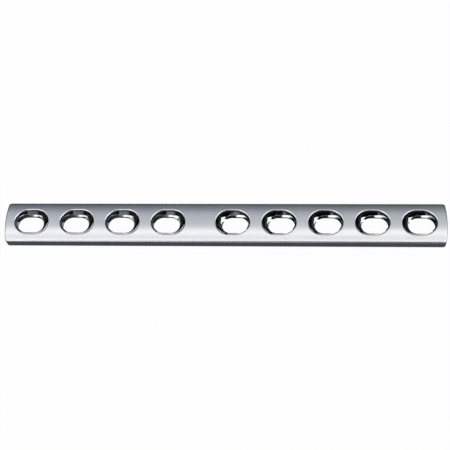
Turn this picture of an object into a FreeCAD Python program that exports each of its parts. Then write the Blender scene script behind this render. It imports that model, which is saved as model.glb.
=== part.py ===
import FreeCAD, Part
import Sketcher
import math
import os

Vector = FreeCAD.Vector

# Straight dynamic compression plate for a long bone, made from one bar of steel.
# The plate lies along X with its underside on Z = 0, and its middle is over the origin.
# Two groups of screw holes mirror each other about the solid stretch between them.
# In each hole a ball-headed screw slides down a ramp, which is at the end away from
# that stretch, and so pulls the two ends of the broken bone together.

DRIVING_SIZES = (
    ("plate_width", 11.0, "across the long edges"),
    ("plate_thickness", 3.5, "underside to the top of the crown"),
    ("crown_radius", 30.0, "top face, across the plate"),
    ("relief_radius", 40.0, "hollow of the underside, which bridges the bone"),
    ("land_width", 1.2, "flat strip beside each long edge of the underside"),
    ("end_radius", 34.0, "bow of each end, seen from above"),
    ("corner_radius", 1.1, "upright corners of the outline"),
    ("top_edge_round", 0.35, "upper edge of the outline"),
    ("bottom_edge_round", 0.3, "lower edge of the outline"),
    ("left_hole_count", 4, "holes on the -X side"),
    ("right_hole_count", 5, "holes on the +X side"),
    ("hole_pitch", 12.0, "slot centre to slot centre within a group"),
    ("middle_gap", 18.0, "slot centre to slot centre across the solid stretch"),
    ("end_distance", 6.4, "last slot centre to the plate's end"),
    ("slot_width", 5.1, "shaft slot, which goes right through"),
    ("slot_length", 6.95, "shaft slot, over its round ends"),
    ("seat_radius", 3.9, "ball seat that the screw head slides in"),
    ("seat_depth", 2.4, "top of the crown down to the ball seat's floor"),
    ("seat_start", 1.5, "slot centre back to the centre of the seat's round end"),
    ("ramp_start", 0.2, "slot centre out to the foot of the ramp"),
    ("ramp_angle", 50.0, "rise of the ramp, in degrees"),
    ("rim_round", 0.25, "broken edge round each seat"),
    ("slot_edge_break", 0.15, "bevel round each slot on the underside"),
)

# How far a cutting profile reaches past the surface that it cuts.
OVERRUN = 1.0
FULL_TURN = 360.0
# Two directions that differ by less than this count as parallel, in radians.
ANGLE_TOLERANCE = 0.01
UPWARDS = Vector(0, 0, 1)
LENGTHWISE = Vector(1, 0, 0)

# Sizes that follow from the driving ones, as the sketches and features read them.
PLATE_LENGTH = (
    "(2 * sizes.end_distance + sizes.middle_gap"
    " + (sizes.left_hole_count + sizes.right_hole_count - 2) * sizes.hole_pitch)"
)
LEFT_HOLE_X = (
    f"(-{PLATE_LENGTH} / 2 + sizes.end_distance"
    " + (sizes.left_hole_count - 1) * sizes.hole_pitch)"
)
RIGHT_HOLE_X = f"({LEFT_HOLE_X} + sizes.middle_gap)"
SEAT_HEIGHT = "(sizes.plate_thickness - sizes.seat_depth + sizes.seat_radius)"

# Numbers that stand for a sketch's axes and origin, and for the points of an edge.
X_AXIS, Y_AXIS = (-1, -2)
ORIGIN = (-1, 1)
START, END, CENTRE = (1, 2, 3)


def make_sheet(doc):
    """Keep the driving sizes in a sheet, one row and one alias for each."""
    sheet = doc.addObject("Spreadsheet::Sheet", "sizes")
    for row, (name, value, note) in enumerate(DRIVING_SIZES, start=1):
        sheet.set(f"A{row}", name)
        sheet.set(f"B{row}", str(value))
        sheet.set(f"C{row}", note)
        sheet.setAlias(f"B{row}", name)
    doc.recompute()


def value_of(owner, expression):
    """Number that an expression on the sheet's sizes comes to now."""
    result = owner.evalExpression(expression)
    return float(getattr(result, "Value", result))


def origin_feature(body, role):
    """Origin plane or axis of the body that has this role."""
    return next(item for item in body.Origin.OriginFeatures if item.Role == role)


def new_sketch(body, name, plane):
    """Empty sketch that lies flat on one of the body's origin planes."""
    sketch = body.newObject("Sketcher::SketchObject", name)
    sketch.AttachmentSupport = [(origin_feature(body, plane), "")]
    sketch.MapMode = "FlatFace"
    return sketch


def line(x1, y1, x2, y2):
    """Straight edge of a sketch."""
    return Part.LineSegment(Vector(x1, y1, 0), Vector(x2, y2, 0))


def arc(x, y, radius, first, last):
    """Arc of a sketch, anticlockwise between two angles in radians."""
    circle = Part.Circle(Vector(x, y, 0), Vector(0, 0, 1), radius)
    return Part.ArcOfCircle(circle, first, last)


def relate(sketch, kind, *places):
    """Constrain edges or points of the sketch to each other."""
    sketch.addConstraint(Sketcher.Constraint(kind, *places))


def join_ends(sketch, *pairs):
    """Make each pair of edge ends one point."""
    for first, second in pairs:
        relate(sketch, "Coincident", *first, *second)


def dimension(sketch, name, kind, places, expression):
    """Dimension that follows an expression on the sheet's sizes."""
    value = value_of(sketch, expression)
    index = sketch.addConstraint(Sketcher.Constraint(kind, *places, value))
    sketch.renameConstraint(index, name)
    sketch.setExpression(f"Constraints.{name}", expression)


def draw_outline(body):
    """Outline seen from above: two long edges and two bowed ends."""
    half = "sizes.plate_width / 2"
    bow_centre = f"{PLATE_LENGTH} / 2 - sizes.end_radius"
    sketch = new_sketch(body, "outline", "XY_Plane")
    half_width = value_of(sketch, half)
    radius = value_of(sketch, "sizes.end_radius")
    centre = value_of(sketch, bow_centre)
    angle = math.asin(half_width / radius)
    corner = centre + radius * math.cos(angle)
    sketch.addGeometry([
        line(-corner, half_width, corner, half_width),
        arc(centre, 0, radius, -angle, angle),
        line(corner, -half_width, -corner, -half_width),
        arc(-centre, 0, radius, math.pi - angle, math.pi + angle),
    ])
    join_ends(
        sketch,
        ((0, START), (3, START)),
        ((0, END), (1, END)),
        ((2, START), (1, START)),
        ((2, END), (3, END)),
    )
    relate(sketch, "Horizontal", 0)
    relate(sketch, "Horizontal", 2)
    relate(sketch, "PointOnObject", 1, CENTRE, X_AXIS)
    relate(sketch, "PointOnObject", 3, CENTRE, X_AXIS)
    relate(sketch, "Equal", 1, 3)
    dimension(sketch, "end_radius", "Radius", (1,), "sizes.end_radius")
    dimension(sketch, "upper_half", "DistanceY", (*ORIGIN, 0, START), half)
    dimension(sketch, "lower_half", "DistanceY", (2, START, *ORIGIN), half)
    dimension(sketch, "right_bow", "DistanceX", (*ORIGIN, 1, CENTRE), bow_centre)
    dimension(sketch, "left_bow", "DistanceX", (3, CENTRE, *ORIGIN), bow_centre)
    return sketch


def close_over_arc(sketch):
    """Close an arc with an upright line at each end and a level line between them."""
    join_ends(
        sketch,
        ((0, START), (1, START)),
        ((1, END), (2, START)),
        ((2, END), (3, START)),
        ((3, END), (0, END)),
    )
    relate(sketch, "Vertical", 1)
    relate(sketch, "Vertical", 3)
    relate(sketch, "Symmetric", 2, START, 2, END, Y_AXIS)
    relate(sketch, "PointOnObject", 0, CENTRE, Y_AXIS)


def draw_crown(body):
    """Area above the crowned top, seen along the plate."""
    depth = "sizes.crown_radius - sizes.plate_thickness"
    width = f"sizes.plate_width + {2 * OVERRUN}"
    top = f"sizes.plate_thickness + {OVERRUN}"
    sketch = new_sketch(body, "crown", "YZ_Plane")
    radius = value_of(sketch, "sizes.crown_radius")
    centre = -value_of(sketch, depth)
    reach = value_of(sketch, width) / 2
    high = value_of(sketch, top)
    angle = math.asin(reach / radius)
    low = centre + radius * math.cos(angle)
    sketch.addGeometry([
        arc(0, centre, radius, math.pi / 2 - angle, math.pi / 2 + angle),
        line(reach, low, reach, high),
        line(reach, high, -reach, high),
        line(-reach, high, -reach, low),
    ])
    close_over_arc(sketch)
    dimension(sketch, "crown_radius", "Radius", (0,), "sizes.crown_radius")
    dimension(sketch, "centre_depth", "DistanceY", (0, CENTRE, *ORIGIN), depth)
    dimension(sketch, "box_width", "DistanceX", (2, END, 2, START), width)
    dimension(sketch, "box_top", "DistanceY", (*ORIGIN, 2, START), top)
    return sketch


def draw_relief(body):
    """Hollow of the underside between its two lands, seen along the plate."""
    width = "sizes.plate_width - 2 * sizes.land_width"
    sketch = new_sketch(body, "relief", "YZ_Plane")
    radius = value_of(sketch, "sizes.relief_radius")
    reach = value_of(sketch, width) / 2
    angle = math.asin(reach / radius)
    centre = -radius * math.cos(angle)
    sketch.addGeometry([
        arc(0, centre, radius, math.pi / 2 - angle, math.pi / 2 + angle),
        line(reach, 0, reach, -OVERRUN),
        line(reach, -OVERRUN, -reach, -OVERRUN),
        line(-reach, -OVERRUN, -reach, 0),
    ])
    close_over_arc(sketch)
    relate(sketch, "PointOnObject", 0, START, X_AXIS)
    dimension(sketch, "relief_radius", "Radius", (0,), "sizes.relief_radius")
    dimension(sketch, "hollow_width", "DistanceX", (2, END, 2, START), width)
    dimension(sketch, "box_depth", "DistanceY", (2, START, *ORIGIN), f"{OVERRUN}")
    return sketch


def draw_slot(body, name, hole_x):
    """Shaft slot of one hole, seen from above."""
    span = "sizes.slot_length - sizes.slot_width"
    sketch = new_sketch(body, name, "XY_Plane")
    sketch.setExpression(".AttachmentOffset.Base.x", hole_x)
    radius = value_of(sketch, "sizes.slot_width") / 2
    centre = value_of(sketch, span) / 2
    quarter = math.pi / 2
    sketch.addGeometry([
        arc(centre, 0, radius, -quarter, quarter),
        line(centre, radius, -centre, radius),
        arc(-centre, 0, radius, quarter, 3 * quarter),
        line(-centre, -radius, centre, -radius),
    ])
    for edge in range(4):
        relate(sketch, "Tangent", edge, END, (edge + 1) % 4, START)
    relate(sketch, "Symmetric", 0, CENTRE, 2, CENTRE, *ORIGIN)
    relate(sketch, "PointOnObject", 0, CENTRE, X_AXIS)
    dimension(sketch, "slot_width", "Diameter", (0,), "sizes.slot_width")
    dimension(sketch, "centre_span", "DistanceX", (2, CENTRE, 0, CENTRE), span)
    return sketch


def place_at_hole(sketch, hole_x, side):
    """Set a sketch of the hole's long section with its origin over the slot centre at
    the seat's height, and its X pointing at the plate's end on that side."""
    if side < 0:
        half_turn = FreeCAD.Rotation(Vector(0, 1, 0), 180)
        sketch.AttachmentOffset = FreeCAD.Placement(Vector(), half_turn)
    sketch.setExpression(".AttachmentOffset.Base.x", hole_x)
    sketch.setExpression(".AttachmentOffset.Base.y", SEAT_HEIGHT)


def draw_head_path(body, name, hole_x, side):
    """Line that the centre of the screw head follows: level, then up the ramp."""
    sketch = new_sketch(body, name, "XZ_Plane")
    place_at_hole(sketch, hole_x, side)
    back = value_of(sketch, "sizes.seat_start")
    foot = value_of(sketch, "sizes.ramp_start")
    reach = value_of(sketch, "sizes.slot_length")
    rise = reach * math.tan(math.radians(value_of(sketch, "sizes.ramp_angle")))
    sketch.addGeometry([
        line(-back, 0, foot, 0),
        line(foot, 0, foot + reach, rise),
    ])
    join_ends(sketch, ((0, END), (1, START)))
    relate(sketch, "PointOnObject", 0, START, X_AXIS)
    relate(sketch, "PointOnObject", 0, END, X_AXIS)
    dimension(sketch, "seat_start", "DistanceX", (0, START, *ORIGIN), "sizes.seat_start")
    dimension(sketch, "ramp_start", "DistanceX", (*ORIGIN, 0, END), "sizes.ramp_start")
    dimension(sketch, "ramp_reach", "DistanceX", (1, START, 1, END), "sizes.slot_length")
    dimension(sketch, "ramp_angle", "Angle", (1,), "sizes.ramp_angle * 1 deg")
    return sketch


def draw_seat_section(body, name, hole_x, side):
    """Half-round section of the seat, across the plate where the level stretch starts."""
    sketch = new_sketch(body, name, "YZ_Plane")
    start_x = f"{hole_x} - {side} * sizes.seat_start"
    sketch.setExpression(".AttachmentOffset.Base.y", SEAT_HEIGHT)
    sketch.setExpression(".AttachmentOffset.Base.z", start_x)
    radius = value_of(sketch, "sizes.seat_radius")
    sketch.addGeometry([
        arc(0, 0, radius, math.pi, 2 * math.pi),
        line(radius, 0, -radius, 0),
    ])
    join_ends(sketch, ((0, END), (1, START)), ((1, END), (0, START)))
    relate(sketch, "Coincident", 0, CENTRE, *ORIGIN)
    relate(sketch, "PointOnObject", 1, START, X_AXIS)
    relate(sketch, "PointOnObject", 1, END, X_AXIS)
    dimension(sketch, "seat_radius", "Radius", (0,), "sizes.seat_radius")
    return sketch


def draw_seat_end(body, name, hole_x, side):
    """Quarter disc that turns about the seat's long axis into its round end."""
    sketch = new_sketch(body, name, "XZ_Plane")
    place_at_hole(sketch, hole_x, side)
    radius = value_of(sketch, "sizes.seat_radius")
    back = value_of(sketch, "sizes.seat_start")
    sketch.addGeometry([
        arc(-back, 0, radius, math.pi, 1.5 * math.pi),
        line(-back, -radius, -back, 0),
        line(-back, 0, -back - radius, 0),
    ])
    join_ends(
        sketch,
        ((0, END), (1, START)),
        ((1, END), (2, START)),
        ((2, END), (0, START)),
        ((0, CENTRE), (1, END)),
    )
    relate(sketch, "Vertical", 1)
    relate(sketch, "Horizontal", 2)
    relate(sketch, "PointOnObject", 1, END, X_AXIS)
    dimension(sketch, "seat_radius", "Radius", (0,), "sizes.seat_radius")
    dimension(sketch, "seat_start", "DistanceX", (1, END, *ORIGIN), "sizes.seat_start")
    return sketch


def edge_names(shape, wanted):
    """Names of the shape's edges that are among the wanted ones."""
    return [
        f"Edge{number}"
        for number, edge in enumerate(shape.Edges, start=1)
        if any(edge.isSame(other) for other in wanted)
    ]


def corner_edges(shape):
    """Straight upright edges at the corners of the outline."""
    return [
        edge
        for edge in shape.Edges
        if edge.tangentAt(edge.FirstParameter).isParallel(UPWARDS, ANGLE_TOLERANCE)
    ]


def stands_upright(face):
    """Whether the face is one of the bar's upright sides."""
    surface = face.Surface
    if isinstance(surface, Part.Plane):
        return surface.Axis.isNormal(UPWARDS, ANGLE_TOLERANCE)
    is_round = isinstance(surface, Part.Cylinder)
    return is_round and surface.Axis.isParallel(UPWARDS, ANGLE_TOLERANCE)


def outline_edges(shape, upper):
    """Edges where the upright sides meet the top, or the underside if not upper."""
    middle = shape.BoundBox.Center.z
    edges = []
    for edge in shape.Edges:
        is_above = edge.valueAt(edge.FirstParameter).z > middle
        sides = [face for face in shape.ancestorsOfType(edge, Part.Face) if stands_upright(face)]
        if len(sides) == 1 and is_above == upper:
            edges.append(edge)
    return edges


def opening_edges(shape, upper):
    """Edges of the holes where they break through the crown, or the hollow if not upper."""
    faces = [
        face
        for face in shape.Faces
        if isinstance(face.Surface, Part.Cylinder)
        and face.Surface.Axis.isParallel(LENGTHWISE, ANGLE_TOLERANCE)
        and len(face.Wires) > 1
    ]
    pick = max if upper else min
    face = pick(faces, key=lambda item: item.BoundBox.Center.z)
    rims = [wire for wire in face.Wires if not wire.isSame(face.OuterWire)]
    return [edge for wire in rims for edge in wire.Edges]


def cut_through(body, name, sketch):
    """Pocket that takes the sketch's area right through the plate, both ways."""
    pocket = body.newObject("PartDesign::Pocket", name)
    pocket.Profile = sketch
    pocket.SideType = "Symmetric"
    pocket.Type = "ThroughAll"
    body.Document.recompute()
    return pocket


def soften(body, kind, name, base, edges, size_property, size_name):
    """Fillet or chamfer on some edges of a feature, sized by the sheet."""
    feature = body.newObject(f"PartDesign::{kind}", name)
    feature.Base = (base, edge_names(base.Shape, edges))
    feature.setExpression(size_property, f"sizes.{size_name}")
    body.Document.recompute()
    return feature


def make_bar(body):
    """Bar of the plate's full outline, with its corners and edges worked off."""
    bar = body.newObject("PartDesign::Pad", "bar")
    bar.Profile = draw_outline(body)
    bar.setExpression("Length", "sizes.plate_thickness")
    body.Document.recompute()
    corners = soften(
        body, "Fillet", "corners", bar, corner_edges(bar.Shape), "Radius", "corner_radius"
    )
    lower = outline_edges(corners.Shape, upper=False)
    soften(body, "Fillet", "lower_edge", corners, lower, "Radius", "bottom_edge_round")
    crowned = cut_through(body, "crown_cut", draw_crown(body))
    upper = outline_edges(crowned.Shape, upper=True)
    soften(body, "Fillet", "upper_edge", crowned, upper, "Radius", "top_edge_round")
    return cut_through(body, "relief_cut", draw_relief(body))


def make_hole_row(body, group, hole_x, side, count):
    """Compression hole beside the solid stretch, repeated out towards the plate's end."""
    slot = cut_through(body, f"{group}_slot", draw_slot(body, f"{group}_slot_area", hole_x))

    seat = body.newObject("PartDesign::SubtractivePipe", f"{group}_seat")
    seat.Profile = draw_seat_section(body, f"{group}_seat_section", hole_x, side)
    seat.Spine = draw_head_path(body, f"{group}_head_path", hole_x, side)
    seat.Transition = "Right corner"
    body.Document.recompute()

    end_area = draw_seat_end(body, f"{group}_seat_end_area", hole_x, side)
    seat_end = body.newObject("PartDesign::Groove", f"{group}_seat_end")
    seat_end.Profile = end_area
    seat_end.ReferenceAxis = (end_area, ["H_Axis"])
    seat_end.Angle = FULL_TURN
    body.Document.recompute()

    row = body.newObject("PartDesign::LinearPattern", f"{group}_row")
    row.Originals = [slot, seat, seat_end]
    row.Direction = (origin_feature(body, "X_Axis"), [""])
    row.Reversed = side < 0
    row.Mode = "Extent"
    row.setExpression("Length", f"sizes.hole_pitch * ({count} - 1)")
    row.setExpression("Occurrences", count)
    body.Tip = row
    body.Document.recompute()
    return row


def make_plate(doc):
    """Bone plate: the worked bar, its two rows of holes and their broken edges."""
    plate = doc.addObject("PartDesign::Body", "bone_plate")
    plate.Label = "bone_plate"
    make_bar(plate)
    make_hole_row(plate, "left", LEFT_HOLE_X, -1, "sizes.left_hole_count")
    drilled = make_hole_row(plate, "right", RIGHT_HOLE_X, 1, "sizes.right_hole_count")
    rims = opening_edges(drilled.Shape, upper=True)
    rounded = soften(plate, "Fillet", "rim_edges", drilled, rims, "Radius", "rim_round")
    slots = opening_edges(rounded.Shape, upper=False)
    bevelled = soften(plate, "Chamfer", "slot_edges", rounded, slots, "Size", "slot_edge_break")
    plate.Tip = bevelled
    doc.recompute()
    return plate


def check(doc, plate):
    """Stop if a feature failed, if a cut removed nothing or if the solid isn't whole."""
    for item in doc.Objects:
        if "Invalid" in item.State or "Error" in item.State:
            raise RuntimeError(f"{item.Name} failed: {item.State}")
    cutting = ("PartDesign::Pocket", "PartDesign::SubtractivePipe", "PartDesign::Groove")
    for item in plate.Group:
        if item.TypeId in cutting and item.Shape.Volume >= item.BaseFeature.Shape.Volume:
            raise RuntimeError(f"{item.Name} removed nothing")
    if plate.Shape.isNull() or not plate.Shape.isValid() or len(plate.Shape.Solids) != 1:
        raise RuntimeError(f"{plate.Label} is not one valid solid")


def main():
    """Build the plate and write it as a STEP file named after its label."""
    doc = FreeCAD.newDocument("bone_plate_model")
    make_sheet(doc)
    plate = make_plate(doc)
    check(doc, plate)
    os.makedirs("parts", exist_ok=True)
    plate.Shape.exportStep(f"parts/{plate.Label}.step")
    box = plate.Shape.optimalBoundingBox(False, False)
    print(f"{plate.Label}: {box.XLength:.2f} x {box.YLength:.2f} x {box.ZLength:.2f} mm,")
    print(f"{len(plate.Shape.Faces)} faces, {plate.Shape.Volume:.1f} mm3")


main()
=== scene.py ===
"""Looks of a steel bone plate with nine compression holes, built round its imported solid.

Lengths are in metres in the frame of the solid: X along the plate, Z out of its crowned top,
and the origin in the middle of the underside.
"""

import enum
import logging
import math
import operator
from collections.abc import Mapping
from dataclasses import dataclass, field
from typing import NamedTuple

import bmesh
import bpy
import numpy as np
from mathutils import Matrix, Vector

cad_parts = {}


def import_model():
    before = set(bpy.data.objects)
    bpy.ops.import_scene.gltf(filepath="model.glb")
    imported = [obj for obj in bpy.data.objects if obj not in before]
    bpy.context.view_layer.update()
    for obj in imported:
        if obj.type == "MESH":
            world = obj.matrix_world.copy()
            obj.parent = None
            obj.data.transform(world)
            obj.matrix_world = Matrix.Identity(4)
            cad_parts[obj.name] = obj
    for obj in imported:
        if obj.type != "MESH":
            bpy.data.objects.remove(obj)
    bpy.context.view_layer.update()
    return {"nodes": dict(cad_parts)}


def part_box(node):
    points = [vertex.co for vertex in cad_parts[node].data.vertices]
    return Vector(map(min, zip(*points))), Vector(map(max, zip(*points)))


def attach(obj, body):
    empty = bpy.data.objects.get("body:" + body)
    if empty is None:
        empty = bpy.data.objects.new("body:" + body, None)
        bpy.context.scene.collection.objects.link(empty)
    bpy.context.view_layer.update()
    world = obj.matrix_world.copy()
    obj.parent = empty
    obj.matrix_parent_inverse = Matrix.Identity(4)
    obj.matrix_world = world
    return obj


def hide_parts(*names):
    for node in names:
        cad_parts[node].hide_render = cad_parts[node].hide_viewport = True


LOG = logging.getLogger("bone_plate")
MM = 0.001
PLATE_NODE = "bone_plate"

# Values that the meshes keep for each point: the polished seats with their painted shade,
# the worn edges with their painted highlight and, on a card, its light.
POLISH_AND_SHADE = "polish"
EDGE_WEAR_AND_SHEEN = "edge_wear"
GLOW = "glow"

# Halvings that find where two surfaces meet, and a number that stands in for nothing.
HALVINGS = 40
TINY = 1e-9

# Light of a black card, where 1 is white.
BLACK_LEVEL = 0.003


class Side(enum.IntEnum):
    """Group of holes, named by the way its ramps face."""

    LEFT = -1
    RIGHT = 1


def spaced(first: float, last: float, steps: int) -> np.ndarray:
    """Even steps from first to last, as steps + 1 values with both ends."""
    return np.linspace(first, last, steps + 1)


def eased(steps: int) -> np.ndarray:
    """Shares from 0 to 1 in so many steps, which are shorter near both ends."""
    return (1.0 - np.cos(spaced(0.0, math.pi, steps))) / 2.0


def between(first: np.ndarray, last: np.ndarray, share: float | np.ndarray) -> np.ndarray:
    """Points at a share of the way from the first ones to the last ones."""
    return first * (1 - share) + last * share


def plan(x: float | np.ndarray, y: float | np.ndarray) -> np.ndarray:
    """Plan of points from their places along and across the plate."""
    return np.stack(np.broadcast_arrays(x, y), axis=-1)


def rays(angles: np.ndarray) -> np.ndarray:
    """Plan of the unit vectors that point in these directions."""
    return plan(np.cos(angles), np.sin(angles))


def joined(xy: np.ndarray, z: np.ndarray) -> np.ndarray:
    """Points in space from their plan and their heights."""
    return np.concatenate([xy, z[..., None]], axis=-1)


def unit(vectors: np.ndarray) -> np.ndarray:
    """The same directions, with a length of one each."""
    return vectors / np.linalg.norm(vectors, axis=-1, keepdims=True)


def quads(index: np.ndarray) -> np.ndarray:
    """Faces between the neighbours in a grid of point numbers."""
    corners = (index[:-1, :-1], index[:-1, 1:], index[1:, 1:], index[1:, :-1])
    return np.stack(corners, axis=-1).reshape(-1, 4)


def rounded(start: np.ndarray, corner: np.ndarray, end: np.ndarray, steps: int) -> np.ndarray:
    """Arcs that touch both lines of a corner, one arc for each column of points.

    Args:
        start: Points where the arcs leave the first line.
        corner: Points where the two lines would meet.
        end: Points where the arcs reach the second line, as far from the corner as start.
        steps: Steps along each arc.

    Returns:
        Rows of points from start to end.
    """
    half = np.sum(unit(start - corner) * unit(end - corner), axis=-1)
    weight = np.sqrt((1.0 - half) / 2.0)[..., None]
    rows = []
    for share in spaced(0.0, 1.0, steps):
        a, b, c = (1.0 - share) ** 2, 2.0 * share * (1.0 - share) * weight, share**2
        rows.append((a * start + b * corner + c * end) / (a + b + c))
    return np.stack(rows)


def reach_of_round(radius: float, one: np.ndarray, other: np.ndarray) -> np.ndarray:
    """Distance from a corner to where a round of this radius touches its lines.

    Args:
        radius: Radius of the round.
        one: Unit vectors from the corner along the first line.
        other: Unit vectors from the corner along the second line.

    Returns:
        The distance for each corner.
    """
    inside = np.arccos(np.clip(np.sum(one * other, axis=-1), -1.0, 1.0))
    return radius / np.tan(inside / 2.0)


class SurfaceSheet:
    """Mesh that grows by grids of points, with two masks on its points."""

    def __init__(self) -> None:
        """Start with no points."""
        self.points: list[np.ndarray] = []
        self.faces: list[np.ndarray] = []
        self.polish: list[np.ndarray] = []
        self.wear_and_sheen: list[np.ndarray] = []
        self.count = 0

    def add(self, grid: np.ndarray, polish: np.ndarray, wear_and_sheen: np.ndarray, closed: bool) -> None:
        """Add a grid of quads.

        Args:
            grid: Points by row and column.
            polish: Mask of the polished seat, which also takes its painted shade, one value for
                each row.
            wear_and_sheen: Mask of the worn edges and of their painted highlight, one value for
                each row.
            closed: Whether the last column joins the first.
        """
        rows, columns = grid.shape[:2]
        index = self.count + np.arange(rows * columns).reshape(rows, columns)
        if closed:
            index = np.concatenate([index, index[:, :1]], axis=1)
        self.points.append(grid.reshape(-1, 3))
        self.faces.append(quads(index))
        self.polish.append(np.repeat(polish, columns))
        self.wear_and_sheen.append(np.repeat(wear_and_sheen, columns))
        self.count += rows * columns

    def mesh(self, name: str, weld: float) -> bpy.types.Mesh:
        """Make the mesh, with its doubles merged.

        Args:
            name: Name of the mesh.
            weld: Points nearer than this become one.

        Returns:
            The mesh.
        """
        mesh = bpy.data.meshes.new(name)
        points, faces = np.concatenate(self.points), np.concatenate(self.faces)
        mesh.from_pydata(points.tolist(), [], faces.tolist())
        for label, parts in ((POLISH_AND_SHADE, self.polish), (EDGE_WEAR_AND_SHEEN, self.wear_and_sheen)):
            mask = mesh.attributes.new(label, "FLOAT", "POINT")
            mask.data.foreach_set("value", np.concatenate(parts).astype(np.float32))
        work = bmesh.new()
        work.from_mesh(mesh)
        bmesh.ops.remove_doubles(work, verts=work.verts, dist=weld)
        work.to_mesh(mesh)
        work.free()
        return mesh


@dataclass(frozen=True)
class Bar:
    """Bar that the plate is made from, with its crown, its hollow and its worked edges."""

    length: float
    width: float
    thickness: float
    crown_radius: float = 30.0 * MM
    relief_radius: float = 40.0 * MM
    land_width: float = 1.2 * MM
    end_radius: float = 34.0 * MM
    corner_radius: float = 0.8 * MM
    top_edge_round: float = 0.35 * MM
    bottom_edge_round: float = 0.3 * MM
    round_steps: int = 6
    side_steps: int = 4
    land_steps: int = 5

    def crown(self, y: np.ndarray) -> np.ndarray:
        """Height of the crowned top at a distance y from the plate's long middle line."""
        return self.thickness - self.crown_radius + np.sqrt(self.crown_radius**2 - y**2)

    def crown_fall(self, y: np.ndarray) -> np.ndarray:
        """Slope of the crown across the plate at y."""
        return -y / np.sqrt(self.crown_radius**2 - y**2)

    def hollow_half(self) -> float:
        """Half the width of the hollow."""
        return self.width / 2 - self.land_width

    def underside(self, y: np.ndarray) -> np.ndarray:
        """Height of the underside: the hollow in the middle and a flat land beside it.

        Args:
            y: Distance from the plate's long middle line.

        Returns:
            The height at each distance.
        """
        edge = math.sqrt(self.relief_radius**2 - self.hollow_half() ** 2)
        inside = np.minimum(np.abs(y), self.hollow_half())
        return np.sqrt(self.relief_radius**2 - inside**2) - edge

    def on_crown(self, xy: np.ndarray) -> np.ndarray:
        """Points of the crown over this plan."""
        return joined(xy, self.crown(xy[..., 1]))

    def on_underside(self, xy: np.ndarray) -> np.ndarray:
        """Points of the underside over this plan."""
        return joined(xy, self.underside(xy[..., 1]))

    def top_half(self) -> float:
        """Half the width of the crown between the rounds of the plate's upper edges."""
        rows, _ = self.edge_section(np.array([[0.0, self.width / 2]]), np.array([[0.0, 1.0]]))
        return float(rows[0, 0, 1])

    def edge_section(
        self, outline: np.ndarray, outward: np.ndarray
    ) -> tuple[np.ndarray, np.ndarray]:
        """Side wall with its two rounds, from the top down to the underside.

        Args:
            outline: Plan of the outline's points.
            outward: Unit vectors out of the outline in plan.

        Returns:
            Rows of points, and the wear mask of each row.
        """
        flat = np.zeros(len(outline))
        top = joined(outline, self.crown(outline[:, 1]))
        inward = -outward
        fall = self.crown_fall(outline[:, 1]) * inward[:, 1]
        along_top = unit(joined(inward, fall))
        down = np.tile([0.0, 0.0, -1.0], (len(outline), 1))
        reach = reach_of_round(self.top_edge_round, along_top, down)[:, None]
        upper = rounded(top + along_top * reach, top, top + down * reach, self.round_steps)
        upper[0, :, 2] = self.crown(upper[0, :, 1])
        bottom = joined(outline, flat)
        below = bottom - down * self.bottom_edge_round
        inner = bottom + joined(inward, flat) * self.bottom_edge_round
        lower = rounded(below, bottom, inner, self.round_steps)
        lower[..., 2] = np.maximum(lower[..., 2], self.underside(lower[..., 1]))
        shares = eased(self.side_steps)[1:-1]
        side = np.stack([between(upper[-1], lower[0], share) for share in shares])
        # Edge wear and its painted highlight, strongest in the middle of each round.
        wear_and_sheen_of_round = np.sin(spaced(0.0, math.pi, self.round_steps))
        wear_and_sheen = np.concatenate([wear_and_sheen_of_round, np.zeros(len(shares)), wear_and_sheen_of_round])
        return np.concatenate([upper, side, lower]), wear_and_sheen

    def end_outline(
        self, start_x: float, steps: tuple[int, int, int]
    ) -> tuple[np.ndarray, np.ndarray]:
        """Outline of the right end, from its far long edge round to its near one.

        Args:
            start_x: Where the outline starts and ends on the long edges.
            steps: Steps on each straight stretch, on each corner and on the bow.

        Returns:
            Plan of the points, and their unit vectors outwards.
        """
        half = self.width / 2
        bow_centre = self.length / 2 - self.end_radius
        corner_y = half - self.corner_radius
        corner_x = bow_centre + math.sqrt((self.end_radius - self.corner_radius) ** 2 - corner_y**2)
        bow = math.atan2(corner_y, corner_x - bow_centre)
        straight, corner, middle = steps
        turn = rays(spaced(math.pi / 2, bow, corner))
        corner_points = np.array([corner_x, corner_y]) + turn * self.corner_radius
        along = plan(spaced(start_x, corner_x, straight), half)
        bow_turn = rays(spaced(bow, 0.0, middle // 2))
        bow_points = np.array([bow_centre, 0.0]) + bow_turn * self.end_radius
        upper = np.concatenate([along[:-1], corner_points[:-1], bow_points])
        normal = np.concatenate([np.tile([0.0, 1.0], (straight, 1)), turn[:-1], bow_turn])
        flip = np.array([1.0, -1.0])
        return (
            np.concatenate([upper, upper[-2::-1] * flip]),
            np.concatenate([normal, normal[-2::-1] * flip]),
        )


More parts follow.
